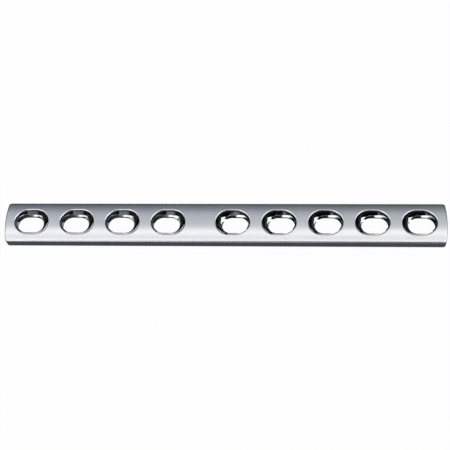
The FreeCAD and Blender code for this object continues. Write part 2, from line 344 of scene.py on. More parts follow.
@dataclass(frozen=True)
class CompressionHole:
    """Screw hole with a ball seat, whose ramp rises towards the plate's end, over a slot.

    In plan, u runs from the slot's centre towards the ramp and v across the plate. The probe
    is the step that tells a surface's slope, and top_crowding draws the crown's rows together
    near the rim.
    """

    bar: Bar
    slot_width: float = 5.1 * MM
    slot_length: float = 6.95 * MM
    seat_radius: float = 3.9 * MM
    seat_depth: float = 2.4 * MM
    seat_start: float = 1.5 * MM
    ramp_start: float = 0.2 * MM
    ramp_angle: float = math.radians(50.0)
    knee_blend: float = 0.7 * MM
    rim_round: float = 0.3 * MM
    slot_rim_round: float = 0.06 * MM
    slot_edge_break: float = 0.15 * MM
    bevel_shares: tuple[float, float] = (0.1, 0.9)
    tile_outer: float = 4.6 * MM
    probe: float = 0.02 * MM
    top_crowding: float = 1.4
    across_steps: int = 36
    knee_steps: tuple[int, int] = (30, 14)
    seat_steps: int = 14
    wall_steps: int = 7
    round_steps: int = 5
    top_steps: int = 7
    under_steps: int = 5

    def seat(self, u: np.ndarray, v: np.ndarray) -> np.ndarray:
        """Height of the seat.

        Args:
            u: Distance towards the ramp.
            v: Distance across.

        Returns:
            Height of the ball's level sweep or of its ramp, whichever is higher, eased where
            they meet.
        """
        axis = self.bar.thickness - self.seat_depth + self.seat_radius
        back = np.minimum(u + self.seat_start, 0.0)
        level = axis - np.sqrt(np.maximum(self.seat_radius**2 - v**2 - back**2, 0.0))
        drop = np.sqrt(np.maximum(self.seat_radius**2 - v**2, 0.0)) / math.cos(self.ramp_angle)
        ramp = axis + math.tan(self.ramp_angle) * (u - self.ramp_start) - drop
        return (level + ramp + np.sqrt((level - ramp) ** 2 + self.knee_blend**2)) / 2

    def on_seat(self, xy: np.ndarray) -> np.ndarray:
        """Points of the seat over this plan."""
        return joined(xy, self.seat(xy[..., 0], xy[..., 1]))

    def knee(self, v: float) -> float:
        """Where the ramp starts to rise out of the level seat at a distance v across."""
        depth = math.sqrt(self.seat_radius**2 - v**2)
        return self.ramp_start + math.tan(self.ramp_angle / 2) * depth

    def rim(self, angles: np.ndarray) -> np.ndarray:
        """Rim of the seat in the crown, by halving.

        Args:
            angles: Directions from the slot's centre.

        Returns:
            Plan of the rim's points.
        """
        ray = rays(angles)
        low = np.full(len(angles), self.slot_width / 2)
        high = np.full(len(angles), self.slot_length)
        for _ in range(HALVINGS):
            middle = (low + high) / 2
            u, v = (ray * middle[:, None]).T
            beyond = np.abs(v) >= self.seat_radius
            above = beyond | (self.seat(u, v) > self.bar.crown(v))
            low = np.where(above, low, middle)
            high = np.where(above, middle, high)
        return ray * low[:, None]

    def slot(self, angles: np.ndarray) -> np.ndarray:
        """Outline of the slot.

        Args:
            angles: Directions from the slot's centre.

        Returns:
            Plan of the outline's points.
        """
        radius = self.slot_width / 2
        centre = (self.slot_length - self.slot_width) / 2
        ray = rays(angles)
        across = radius / np.maximum(np.abs(ray[:, 1]), TINY)
        along = np.abs(ray[:, 0]) * centre
        round_end = along + np.sqrt(along**2 - centre**2 + radius**2)
        reach = np.where(across * np.abs(ray[:, 0]) <= centre, across, round_end)
        return ray * reach[:, None]

    def tile_edge(self, pitch: float, half: float) -> np.ndarray:
        """Points round the rectangle that one hole has in its row, anticlockwise.

        Args:
            pitch: Length of the rectangle.
            half: Half its width.

        Returns:
            Plan of the points. One of them on each long edge lies in line with the knee.
        """
        inner = self.tile_outer - pitch
        rim_u, rim_v = self.rim_at_knee()
        knee = rim_u / rim_v * self.bar.top_half()
        before, after = self.knee_steps
        level, ramp = spaced(inner, knee, before), spaced(knee, self.tile_outer, after)
        along = np.concatenate([level[:-1], ramp])
        across = spaced(-half, half, self.across_steps)
        sides = (
            plan(self.tile_outer, across),
            plan(along[::-1], half),
            plan(inner, across[::-1]),
            plan(along, -half),
        )
        return np.concatenate([side[:-1] for side in sides])

    def rim_at_knee(self) -> tuple[float, float]:
        """Find where the knee meets the far rim, by halving.

        Returns:
            Plan of the point, as u and v.
        """
        low, high = self.slot_width / 2, self.seat_radius
        for _ in range(HALVINGS):
            v = (low + high) / 2
            height = float(self.seat(np.array(self.knee(v)), np.array(v)))
            if height > float(self.bar.crown(np.array(v))):
                high = v
            else:
                low = v
        return self.knee(v), v

    def slot_angles(self, rim_angles: np.ndarray) -> np.ndarray:
        """Directions of the slot's points that belong to the rim's points.

        Args:
            rim_angles: Directions of the rim's points.

        Returns:
            Directions, turned so that the knee runs along one column of the mesh.
        """
        rim_u, rim_v = self.rim_at_knee()
        slot_v = self.slot_width / 2
        at_rim = math.atan2(rim_v, rim_u)
        at_slot = math.atan2(slot_v, self.knee(slot_v))
        wrapped = (rim_angles + math.pi) % (2 * math.pi) - math.pi
        size = np.interp(np.abs(wrapped), [0.0, at_rim, math.pi], [0.0, at_slot, math.pi])
        return np.sign(wrapped) * size

    def tile(self, pitch: float) -> SurfaceSheet:
        """Piece of the plate round one hole, open towards its neighbours.

        Args:
            pitch: Length of the piece along the plate.

        Returns:
            The piece, with the slot's centre at the origin.
        """
        on_crown, on_seat, on_underside = self.bar.on_crown, self.on_seat, self.bar.on_underside
        edge = self.tile_edge(pitch, self.bar.top_half())
        under_edge = self.tile_edge(pitch, self.bar.hollow_half())
        angles = np.arctan2(edge[:, 1], edge[:, 0])
        rim = self.rim(angles)
        slot = self.slot(self.slot_angles(angles))

        rim_top = on_crown(rim)
        out = unit(edge - rim)
        inward = unit(slot - rim)
        crown_way = unit(on_crown(rim + out * self.probe) - rim_top)
        seat_way = unit(on_seat(rim + inward * self.probe) - on_seat(rim))
        reach = reach_of_round(self.rim_round, crown_way, seat_way)[:, None]
        rim_outer = on_crown(rim + crown_way[:, :2] * reach)
        rim_inner = on_seat(rim + seat_way[:, :2] * reach)
        rim_rows = rounded(rim_inner, rim_top, rim_outer, self.round_steps)

        slot_top = on_seat(slot)
        down = np.tile([0.0, 0.0, -1.0], (len(slot), 1))
        up_seat = unit(on_seat(slot - inward * self.probe) - slot_top)
        reach = reach_of_round(self.slot_rim_round, up_seat, down)[:, None]
        slot_outer = on_seat(slot + up_seat[:, :2] * reach)
        slot_rows = rounded(slot_top + down * reach, slot_top, slot_outer, self.round_steps)

        seat_rows = [
            on_seat(between(slot_outer[:, :2], rim_inner[:, :2], share))
            for share in eased(self.seat_steps)[1:-1]
        ]
        top_rows = [
            on_crown(between(rim_outer[:, :2], edge, share))
            for share in spaced(0.0, 1.0, self.top_steps)[1:] ** self.top_crowding
        ]
        away = unit(under_edge - slot)
        bevel_outer = on_underside(slot + away * self.slot_edge_break)
        bevel_inner = on_underside(slot)
        bevel_inner[:, 2] += self.slot_edge_break
        wall_rows = [
            between(bevel_inner, slot_rows[0], share) for share in eased(self.wall_steps)[1:-1]
        ]
        under_rows = [
            on_underside(between(under_edge, bevel_outer[:, :2], share))
            for share in spaced(0.0, 1.0, self.under_steps)
        ]
        bevel_rows = [between(bevel_outer, bevel_inner, share) for share in self.bevel_shares]

        # Worn edges and their painted highlight, strongest in the middle of each round.
        rub_and_sheen = np.sin(spaced(0.0, math.pi, self.round_steps))
        fade = spaced(1.0, 0.0, self.round_steps)
        bands = (
            (under_rows, 0.0, 0.0),
            (bevel_rows, 1.0, 1.0),
            ([bevel_inner], 1.0, 0.0),
            (wall_rows, 1.0, 0.0),
            (slot_rows, 1.0, rub_and_sheen),
            (seat_rows, 1.0, 0.0),
            (rim_rows, fade, rub_and_sheen),
            (top_rows, 0.0, 0.0),
        )
        sheet = SurfaceSheet()
        sheet.add(
            np.concatenate([rows for rows, _, _ in bands]),
            np.concatenate([np.broadcast_to(polish, len(rows)) for rows, polish, _ in bands]),
            np.concatenate([np.broadcast_to(wear_and_sheen, len(rows)) for rows, _, wear_and_sheen in bands]),
            closed=True,
        )
        along = edge[self.across_steps : self.across_steps + sum(self.knee_steps) + 1, 0]
        bar_sides(sheet, self.bar, along)
        return sheet


def bar_sides(sheet: SurfaceSheet, bar: Bar, along: np.ndarray) -> None:
    """Add both long sides of the bar, each from the crown's edge down to the hollow's edge.

    Args:
        sheet: Mesh that grows.
        bar: Bar whose sides they are.
        along: Places along the plate, in falling order.
    """
    for side in (1.0, -1.0):
        outline = plan(along, side * bar.width / 2)
        outward = np.tile([0.0, side], (len(along), 1))
        rows, wear_and_sheen = bar.edge_section(outline, outward)
        inner = rows[-1].copy()
        inner[:, 1] = side * bar.hollow_half()
        shares = spaced(0.0, 1.0, bar.land_steps)[1:]
        land = [between(rows[-1], inner, share) for share in shares]
        grid = np.concatenate([rows, land])
        if side < 0:
            grid = grid[:, ::-1]
        wear_and_sheen = np.concatenate([wear_and_sheen, np.zeros(len(land))])
        sheet.add(grid, np.zeros(len(wear_and_sheen)), wear_and_sheen, closed=False)


@dataclass(frozen=True)
class SolidStretches:
    """The plate where it has no holes: its middle stretch and its two ends."""

    hole: CompressionHole
    middle: tuple[float, float]
    end_start: float
    middle_steps: int = 8
    end_steps: tuple[int, int, int] = (1, 9, 16)

    def add_middle(self, sheet: SurfaceSheet) -> None:
        """Add the stretch between the two groups of holes.

        Args:
            sheet: Mesh that grows.
        """
        bar = self.hole.bar
        along = spaced(self.middle[1], self.middle[0], self.middle_steps)
        for half, surface, flip in (
            (bar.top_half(), bar.on_crown, False),
            (bar.hollow_half(), bar.on_underside, True),
        ):
            across = spaced(-half, half, self.hole.across_steps)
            grid = np.stack([surface(plan(x, across)) for x in along])
            if flip:
                grid = grid[::-1]
            sheet.add(grid, np.zeros(len(grid)), np.zeros(len(grid)), closed=False)
        bar_sides(sheet, bar, along)

    def add_end(self, sheet: SurfaceSheet, side: Side) -> None:
        """Add one end.

        Args:
            sheet: Mesh that grows.
            side: Which end it is.
        """
        bar = self.hole.bar
        outline, outward = bar.end_outline(self.end_start, self.end_steps)
        rows, wear_and_sheen = bar.edge_section(outline, outward)
        shares = spaced(0.0, 1.0, bar.land_steps)[:, None, None]
        faces = []
        for half, edge, surface in (
            (bar.top_half(), rows[0], bar.on_crown),
            (bar.hollow_half(), rows[-1], bar.on_underside),
        ):
            start = plan(self.end_start, spaced(half, -half, self.hole.across_steps))
            faces.append(surface(between(start, edge[:, :2], shares)))
        crown, under = faces
        under[-1] = rows[-1]
        turn = np.array([float(side), 1.0, 1.0])
        plain = np.zeros(len(shares))
        for grid, mask in ((crown, plain), (rows, wear_and_sheen), (under[::-1], plain)):
            sheet.add(grid[:, :: int(side)] * turn, np.zeros(len(mask)), mask, closed=False)

    def sheet(self) -> SurfaceSheet:
        """Build all three stretches.

        Returns:
            The stretches, open where the holes' pieces join them.
        """
        sheet = SurfaceSheet()
        self.add_middle(sheet)
        for side in Side:
            self.add_end(sheet, side)
        return sheet


class NodeTree:
    """Short way to add nodes to a tree and to feed their inputs."""

    def __init__(self, tree: bpy.types.NodeTree) -> None:
        """Keep the tree, emptied."""
        self.tree = tree
        tree.nodes.clear()

    def feed(self, socket: bpy.types.NodeSocket, value: object) -> None:
        """Link a node or one of its outputs to an input, or set the input to a plain value.

        Args:
            socket: The input.
            value: The node, whose first output is linked, the output or the plain value.
        """
        if isinstance(value, bpy.types.Node):
            value = value.outputs[0]
        if isinstance(value, bpy.types.NodeSocket):
            self.tree.links.new(value, socket)
        else:
            socket.default_value = value

    def add(self, kind: str, *values: object, **named: object) -> bpy.types.Node:
        """Add a node.

        Args:
            kind: Type of the node.
            *values: What feeds its first inputs, in their order.
            **named: Its properties, and what feeds its other inputs. The name of an input
                starts with a capital letter and has an underscore for a space.

        Returns:
            The node.
        """
        node = self.tree.nodes.new(kind)
        inputs: dict[int | str, object] = dict(enumerate(values))
        for name, value in named.items():
            if name[0].isupper():
                inputs[name.replace("_", " ")] = value
            else:
                setattr(node, name, value)
        for key, value in inputs.items():
            self.feed(node.inputs[key], value)
        return node

    def math(self, operation: str, *values: object, clamp: bool = False) -> bpy.types.NodeSocket:
        """Result of an operation on numbers or sockets, kept from 0 to 1 where it is clamped."""
        node = self.add("ShaderNodeMath", *values, operation=operation, use_clamp=clamp)
        return node.outputs[0]

    def mix(self, kind: str, share: object, first: object, last: object) -> bpy.types.NodeSocket:
        """Blend of two numbers or colours of this kind, by the share of the last one."""
        node = self.add("ShaderNodeMix", data_type=kind, Factor=share, A=first, B=last)
        return node.outputs["Result"]


def new_group(
    name: str, kind: str, inputs: Mapping[str, str], outputs: Mapping[str, str]
) -> bpy.types.NodeTree:
    """Make a node group with named inputs and outputs.

    Args:
        name: Name of the group.
        kind: Type of its tree.
        inputs: Type of value of each input, by its name.
        outputs: Type of value of each output, by its name.

    Returns:
        The group, without nodes.
    """
    group = bpy.data.node_groups.new(name, kind)
    for way, sockets in (("INPUT", inputs), ("OUTPUT", outputs)):
        for label, value in sockets.items():
            group.interface.new_socket(label, in_out=way, socket_type=f"NodeSocket{value}")
    return group


def effect_group(name: str, inputs: tuple[str, ...], outputs: tuple[str, ...]) -> NodeTree:
    """Make a shader group for an effect on the steel, which starts from a place on it.

    Args:
        name: Name of the group.
        inputs: Names of the numbers it is given.
        outputs: Names of its masks.

    Returns:
        Its empty tree.
    """
    given = {"Vector": "Vector", **dict.fromkeys(inputs, "Float")}
    group = new_group(name, "ShaderNodeTree", given, dict.fromkeys(outputs, "Float"))
    return NodeTree(group)


def new_material(name: str) -> tuple[bpy.types.Material, NodeTree]:
    """Make a material.

    Args:
        name: Name of the material.

    Returns:
        The material, and its empty tree.
    """
    material = bpy.data.materials.new(name)
    material.use_nodes = True
    return material, NodeTree(material.node_tree)


def placed(name: str, data: bpy.types.ID) -> bpy.types.Object:
    """Put an object with this data in the scene.

    Args:
        name: Name of the object.
        data: Its mesh, lamp or camera.

    Returns:
        The object.
    """
    item = bpy.data.objects.new(name, data)
    bpy.context.scene.collection.objects.link(item)
    return item


@dataclass(frozen=True)
class HoleRows:
    """Both groups of holes: nodes that repeat the piece round one hole and weld it in."""

    last_x: float
    left_count: int = 4
    right_count: int = 5
    pitch: float = 12.0 * MM
    middle_gap: float = 18.0 * MM
    weld: float = 0.004 * MM
    seat_limit: float = 0.5

    def right_first(self) -> float:
        """Place along the plate of the right group's first hole."""
        return self.last_x - (self.right_count - 1) * self.pitch

    def left_first(self) -> float:
        """Place along the plate of the left group's first hole, beside the middle stretch."""
        return self.right_first() - self.middle_gap

    def holes(self) -> list[tuple[Side, float]]:
        """List the holes.

        Returns:
            Group and place along the plate of each hole.
        """
        left = [(Side.LEFT, self.left_first() - i * self.pitch) for i in range(self.left_count)]
        right = [(Side.RIGHT, self.right_first() + i * self.pitch) for i in range(self.right_count)]
        return left + right

    def tree(self) -> bpy.types.NodeTree:
        """Build the node tree with its named inputs.

        Returns:
            The tree, which gives the plate in both its finishes.
        """
        inputs = {
            "Hole Piece": "Geometry",
            "Solid Stretches": "Object",
            "Pitch": "Float",
            "Left Count": "Int",
            "Right Count": "Int",
            "Left First Hole": "Float",
            "Right First Hole": "Float",
            "Weld Distance": "Float",
            "Satin Finish": "Material",
            "Seat Finish": "Material",
        }
        group = new_group("screw_hole_rows", "GeometryNodeTree", inputs, {"Plate": "Geometry"})
        nodes = NodeTree(group)
        given = nodes.add("NodeGroupInput").outputs
        join = nodes.add("GeometryNodeJoinGeometry")
        for side in Side:
            name = side.name.title()
            step = nodes.math("MULTIPLY", given["Pitch"], float(side))
            row = nodes.add(
                "GeometryNodeMeshLine",
                mode="OFFSET",
                Count=given[f"{name} Count"],
                Start_Location=nodes.add("ShaderNodeCombineXYZ", X=given[f"{name} First Hole"]),
                Offset=nodes.add("ShaderNodeCombineXYZ", X=step),
            )
            copies = nodes.add(
                "GeometryNodeInstanceOnPoints",
                Points=row,
                Instance=given["Hole Piece"],
                Scale=(float(side), 1.0, 1.0),
            )
            nodes.feed(join.inputs["Geometry"], copies)
        stretches = nodes.add(
            "GeometryNodeObjectInfo", transform_space="ORIGINAL", Object=given["Solid Stretches"]
        )
        nodes.feed(join.inputs["Geometry"], stretches.outputs["Geometry"])
        real = nodes.add("GeometryNodeRealizeInstances", Geometry=join)
        weld = nodes.add(
            "GeometryNodeMergeByDistance", Geometry=real, Distance=given["Weld Distance"]
        )
        satin = nodes.add("GeometryNodeSetMaterial", Geometry=weld, Material=given["Satin Finish"])
        mask = nodes.add("GeometryNodeInputNamedAttribute", data_type="FLOAT", Name=POLISH_AND_SHADE)
        in_seat = nodes.add(
            "FunctionNodeCompare",
            data_type="FLOAT",
            operation="GREATER_THAN",
            A=mask.outputs["Attribute"],
            B=self.seat_limit,
        )
        seat = nodes.add(
            "GeometryNodeSetMaterial",
            Geometry=satin,
            Selection=in_seat.outputs["Result"],
            Material=given["Seat Finish"],
        )
        nodes.add("NodeGroupOutput", Plate=seat)
        return group

    def weld_plate(
        self,
        name: str,
        piece: bpy.types.Mesh,
        stretches: bpy.types.Mesh,
        satin: bpy.types.Material,
        seat: bpy.types.Material,
    ) -> bpy.types.Object:
        """Run the tree and keep its result as one plain mesh.

        Args:
            name: Name of the finished piece.
            piece: Mesh round one hole.
            stretches: Mesh of the solid stretches.
            satin: Finish of the outside.
            seat: Finish of the seats and slots, polished and darkened as painted shade.

        Returns:
            The finished piece.
        """
        stretch_object = placed("solid_stretches", stretches)
        carrier = placed("hole_piece", piece)
        modifier = carrier.modifiers.new("screw_hole_rows", "NODES")
        modifier.node_group = self.tree()
        values = {
            "Solid Stretches": stretch_object,
            "Pitch": self.pitch,
            "Left Count": self.left_count,
            "Right Count": self.right_count,
            "Left First Hole": self.left_first(),
            "Right First Hole": self.right_first(),
            "Weld Distance": self.weld,
            "Satin Finish": satin,
            "Seat Finish": seat,
        }
        for item in modifier.node_group.interface.items_tree:
            if item.in_out == "INPUT" and item.name in values:
                modifier[item.identifier] = values[item.name]
        graph = bpy.context.evaluated_depsgraph_get()
        mesh = bpy.data.meshes.new_from_object(carrier.evaluated_get(graph))
        carrier.modifiers.remove(modifier)
        for item in (stretch_object, carrier):
            bpy.data.objects.remove(item)
        turn_faces_outwards(mesh)
        drop_empty_slots(mesh)
        mesh.name = name
        return placed(name, mesh)


def turn_faces_outwards(mesh: bpy.types.Mesh) -> None:
    """Point all faces of a closed mesh outwards and shade them smooth.

    Args:
        mesh: The mesh.
    """
    work = bmesh.new()
    work.from_mesh(mesh)
    bmesh.ops.recalc_face_normals(work, faces=work.faces)
    for one in work.faces:
        one.smooth = True
    work.to_mesh(mesh)
    work.free()


def drop_empty_slots(mesh: bpy.types.Mesh) -> None:
    """Take out material slots that hold nothing, and keep each face's material.

    Args:
        mesh: The mesh.
    """
    kept = [material for material in mesh.materials if material]
    named = [kept.index(material) if material else 0 for material in mesh.materials]
    index = np.zeros(len(mesh.polygons), dtype=np.int32)
    mesh.polygons.foreach_get("material_index", index)
    mesh.materials.clear()
    for material in kept:
        mesh.materials.append(material)
    mesh.polygons.foreach_set("material_index", np.array(named, dtype=np.int32)[index])


@dataclass(frozen=True)
class BrushedGrain:
    """Fine lines along the plate over soft clouds, as a group that both finishes use."""

    line_detail: float = 3.0
    line_roughness: float = 0.65
    cloud_detail: float = 4.0

    def group(self) -> bpy.types.ShaderNodeTree:
        """Build the group.

        Returns:
            Group with one mask for the lines and one for the clouds.
        """
        numbers = ("Line Scale", "Line Stretch", "Cloud Scale")
        nodes = effect_group("brushed_grain", numbers, ("Lines", "Clouds"))
        given = nodes.add("NodeGroupInput").outputs
        stretch = nodes.math("DIVIDE", 1.0, given["Line Stretch"])
        squeeze = nodes.add("ShaderNodeCombineXYZ", X=stretch, Y=1.0, Z=1.0)
        along = nodes.add("ShaderNodeVectorMath", given["Vector"], squeeze, operation="MULTIPLY")
        lines = nodes.add(
            "ShaderNodeTexNoise",
            Vector=along,
            Scale=given["Line Scale"],
            Detail=self.line_detail,
            Roughness=self.line_roughness,
        )
        clouds = nodes.add(
            "ShaderNodeTexNoise",
            Vector=given["Vector"],
            Scale=given["Cloud Scale"],
            Detail=self.cloud_detail,
        )
        nodes.add("NodeGroupOutput", Lines=lines.outputs["Fac"], Clouds=clouds.outputs["Fac"])
        return nodes.tree


@dataclass(frozen=True)
class HandlingMarksAndSheen:
    """Thin short scratches and rubbed edges with a painted highlight, as a group that both finishes
    use.
    """

    bend_scale: float = 260.0
    bend_reach: float = 2.5 * MM
    break_scale: float = 420.0
    break_limit: float = 0.56
    rub_and_sheen_spread: float = 0.8
    rub_and_sheen_least: float = 0.5

    def group(self) -> bpy.types.ShaderNodeTree:
        """Build the group.

        Returns:
            Group with one mask for the scratches and one for the rubbed edges and their painted
            highlight.
        """
        numbers = ("Scratch Scale", "Scratch Share", "Edge")
        nodes = effect_group("handling_marks", numbers, ("Scratches", "Rubbed Edge"))
        given = nodes.add("NodeGroupInput").outputs
        bend = nodes.add("ShaderNodeTexNoise", Vector=given["Vector"], Scale=self.bend_scale)
        shift = nodes.add(
            "ShaderNodeVectorMath", bend.outputs["Color"], operation="SCALE", Scale=self.bend_reach
        )
        place = nodes.add("ShaderNodeVectorMath", given["Vector"], shift, operation="ADD")
        cells = nodes.add(
            "ShaderNodeTexVoronoi",
            feature="DISTANCE_TO_EDGE",
            Vector=place,
            Scale=given["Scratch Scale"],
        )
        noise = nodes.add("ShaderNodeTexNoise", Vector=given["Vector"], Scale=self.break_scale)
        breaks = noise.outputs["Fac"]
        thin = nodes.math("LESS_THAN", cells.outputs["Distance"], given["Scratch Share"])
        broken = nodes.math("GREATER_THAN", breaks, self.break_limit)
        patch = nodes.math("MULTIPLY_ADD", breaks, self.rub_and_sheen_spread, self.rub_and_sheen_least)
        nodes.add(
            "NodeGroupOutput",
            Scratches=nodes.math("MULTIPLY", thin, broken),
            Rubbed_Edge=nodes.math("MULTIPLY", given["Edge"], patch, clamp=True),
        )
        return nodes.tree


@dataclass(frozen=True)
class SteelFinish:
    """One finish of the implant steel."""

    name: str
    colour: tuple[float, float, float]
    shade: float
    roughness: float
    cloud_spread: float
    line_spread: float
    line_scale: float
    line_stretch: float
    line_depth: float
    scratch_share: float
    edge_roughness: float
    cloud_scale: float = 160.0
    noise_middle: float = 0.5
    scratch_scale: float = 190.0
    scratch_roughness: float = 0.06
    scratch_depth: float = 0.6
    # Paler colour of the rubbed edges, which is a painted highlight.
    rubbed_edge_highlight_colour: tuple[float, float, float] = (0.90, 0.90, 0.91)

    def material(
        self, grain: bpy.types.ShaderNodeTree, marks: bpy.types.ShaderNodeTree
    ) -> bpy.types.Material:
        """Build the material.

        Args:
            grain: Group of the brushed grain.
            marks: Group of the handling marks.

        Returns:
            The material.
        """
        material, nodes = new_material(self.name)
        place = nodes.add("ShaderNodeTexCoord").outputs["Object"]
        edge = nodes.add("ShaderNodeAttribute", attribute_name=EDGE_WEAR_AND_SHEEN)
        fine = nodes.add(
            "ShaderNodeGroup",
            node_tree=grain,
            Vector=place,
            Line_Scale=self.line_scale,
            Line_Stretch=self.line_stretch,
            Cloud_Scale=self.cloud_scale,
        ).outputs
        handled = nodes.add(
            "ShaderNodeGroup",
            node_tree=marks,
            Vector=place,
            Scratch_Scale=self.scratch_scale,
            Scratch_Share=self.scratch_share,
            Edge=edge.outputs["Fac"],
        ).outputs
        scratches, rub_and_sheen = handled["Scratches"], handled["Rubbed Edge"]

        clouds = nodes.math("SUBTRACT", fine["Clouds"], self.noise_middle)
        lines = nodes.math("SUBTRACT", fine["Lines"], self.noise_middle)
        cloudy = nodes.math("MULTIPLY_ADD", clouds, self.cloud_spread, self.roughness)
        grained = nodes.math("MULTIPLY_ADD", lines, self.line_spread, cloudy)
        scratched = nodes.math("MULTIPLY_ADD", scratches, self.scratch_roughness, grained)
        rubbed = nodes.mix("FLOAT", rub_and_sheen, scratched, self.edge_roughness)

        shaded = [part * self.shade for part in self.colour]
        tint = nodes.mix("RGBA", fine["Clouds"], (*shaded, 1.0), (*self.colour, 1.0))
        # Painted highlight: the rubbed edges take a paler colour than the steel, as if catching
        # light.
        bright = nodes.mix("RGBA", rub_and_sheen, tint, (*self.rubbed_edge_highlight_colour, 1.0))

        height = nodes.math("MULTIPLY_ADD", scratches, -self.scratch_depth, fine["Lines"])
        bump = nodes.add("ShaderNodeBump", Strength=1.0, Distance=self.line_depth, Height=height)
        steel = nodes.add(
            "ShaderNodeBsdfPrincipled",
            Metallic=1.0,
            Base_Color=bright,
            Roughness=rubbed,
            Normal=bump,
        )
        nodes.add("ShaderNodeOutputMaterial", Surface=steel)
        return material


SATIN_OUTSIDE = SteelFinish(
    name="satin_outside",
    colour=(0.715, 0.72, 0.735),
    shade=0.95,
    roughness=0.20,
    cloud_spread=0.10,
    line_spread=0.08,
    line_scale=9000.0,
    line_stretch=30.0,
    line_depth=0.000002,
    scratch_share=0.004,
    edge_roughness=0.16,
)
# Painted shade: the seats are a darker copy of the satin steel, as well as polished.
POLISHED_SHADED_SEAT = SteelFinish(
    name="polished_seat",
    colour=(0.575, 0.58, 0.595),
    shade=0.97,
    roughness=0.07,
    cloud_spread=0.04,
    line_spread=0.02,
    line_scale=5000.0,
    line_stretch=1.0,
    line_depth=0.0000004,
    scratch_share=0.003,
    edge_roughness=0.10,
)


@dataclass(frozen=True)
class BonePlate:
    """The whole plate: bar, two rows of holes and solid stretches, in two finishes."""

    end_distance: float = 6.4 * MM

    def rows(self) -> HoleRows:
        """Rows of holes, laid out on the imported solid."""
        return HoleRows(last_x=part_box(PLATE_NODE)[1].x - self.end_distance)

    def build(self) -> bpy.types.Object:
        """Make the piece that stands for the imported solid.

        Returns:
            The piece.
        """
        low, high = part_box(PLATE_NODE)
        bar = Bar(length=high.x - low.x, width=high.y - low.y, thickness=high.z - low.z)
        hole = CompressionHole(bar)
        rows = self.rows()
        inner = rows.pitch - hole.tile_outer
        stretches = SolidStretches(
            hole=hole,
            middle=(rows.left_first() + inner, rows.right_first() - inner),
            end_start=rows.last_x + hole.tile_outer,
        )
        grain = BrushedGrain().group()
        marks = HandlingMarksAndSheen().group()
        plate = rows.weld_plate(
            "steel_plate",
            hole.tile(rows.pitch).mesh("hole_piece", rows.weld),
            stretches.sheet().mesh("solid_stretches", rows.weld),
            SATIN_OUTSIDE.material(grain, marks),
            POLISHED_SHADED_SEAT.material(grain, marks),
        )
        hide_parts(PLATE_NODE)
        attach(plate, "root")
        LOG.info("steel_plate: %d faces", len(plate.data.polygons))
        return plate


def dimmed_by_bounces(
    nodes: NodeTree, limit: float = 1.5, loss: float = 0.93
) -> bpy.types.NodeSocket:
    """Give full light to what is mirrored once and little to what is mirrored again.

    It keeps the deep parts of the seats dark, where light goes from wall to wall.

    Args:
        nodes: Tree of the card or of the surroundings.
        limit: Number of mirrorings past which the light is lost.
        loss: Share of the light that is lost.

    Returns:
        The strength to give to their light.
    """
    bounces = nodes.add("ShaderNodeLightPath").outputs["Glossy Depth"]
    again = nodes.math("GREATER_THAN", bounces, limit)
    return nodes.math("MULTIPLY_ADD", again, -loss, 1.0)


@dataclass(frozen=True)
class Card:
    """Studio card that the steel mirrors and the camera doesn't see.

    It is a grid of corners, and each corner has its own level of light, where 1 is white. The
    darker a corner is, the bluer it is.
    """

    name: str
    corners: np.ndarray
    levels: np.ndarray
    red_loss: float = 0.17
    blue_gain: float = 0.20

    def light(self, level: float) -> tuple[float, float, float, float]:
        """Colour of the card's light.

        Args:
            level: How bright the card is.

        Returns:
            The colour.
        """
        depth = 1.0 - min(level, 1.0)
        red = level * (1.0 - self.red_loss * depth)
        return (red, level, level * (1.0 + self.blue_gain * depth), 1.0)

    def build(self) -> bpy.types.Object:
        """Make the card as a stage piece.

        Returns:
            The card.
        """
        rows, columns = self.corners.shape[:2]
        index = np.arange(rows * columns).reshape(rows, columns)
        mesh = bpy.data.meshes.new(self.name)
        mesh.from_pydata(self.corners.reshape(-1, 3).tolist(), [], quads(index).tolist())
        glow = mesh.attributes.new(GLOW, "FLOAT_COLOR", "POINT")
        colours = [self.light(float(level)) for level in self.levels.reshape(-1)]
        glow.data.foreach_set("color", np.array(colours, dtype=np.float32).reshape(-1))
        card = placed(self.name, mesh)
        for ray in ("camera", "diffuse", "transmission", "volume_scatter", "shadow"):
            setattr(card, f"visible_{ray}", False)
        material, nodes = new_material(self.name)
        painted = nodes.add("ShaderNodeAttribute", attribute_name=GLOW).outputs["Color"]
        strength = dimmed_by_bounces(nodes)
        light = nodes.add("ShaderNodeEmission", Color=painted, Strength=strength)
        nodes.add("ShaderNodeOutputMaterial", Surface=light)
        mesh.materials.append(material)
        return card


class SlotLight(NamedTuple):
    """Painted pool of light on the card under the plate, at one place along a slot, on its near and
    on its far side.

    The place is told from the slot's centre, in metres.
    """

    offset: float
    near: float
    far: float


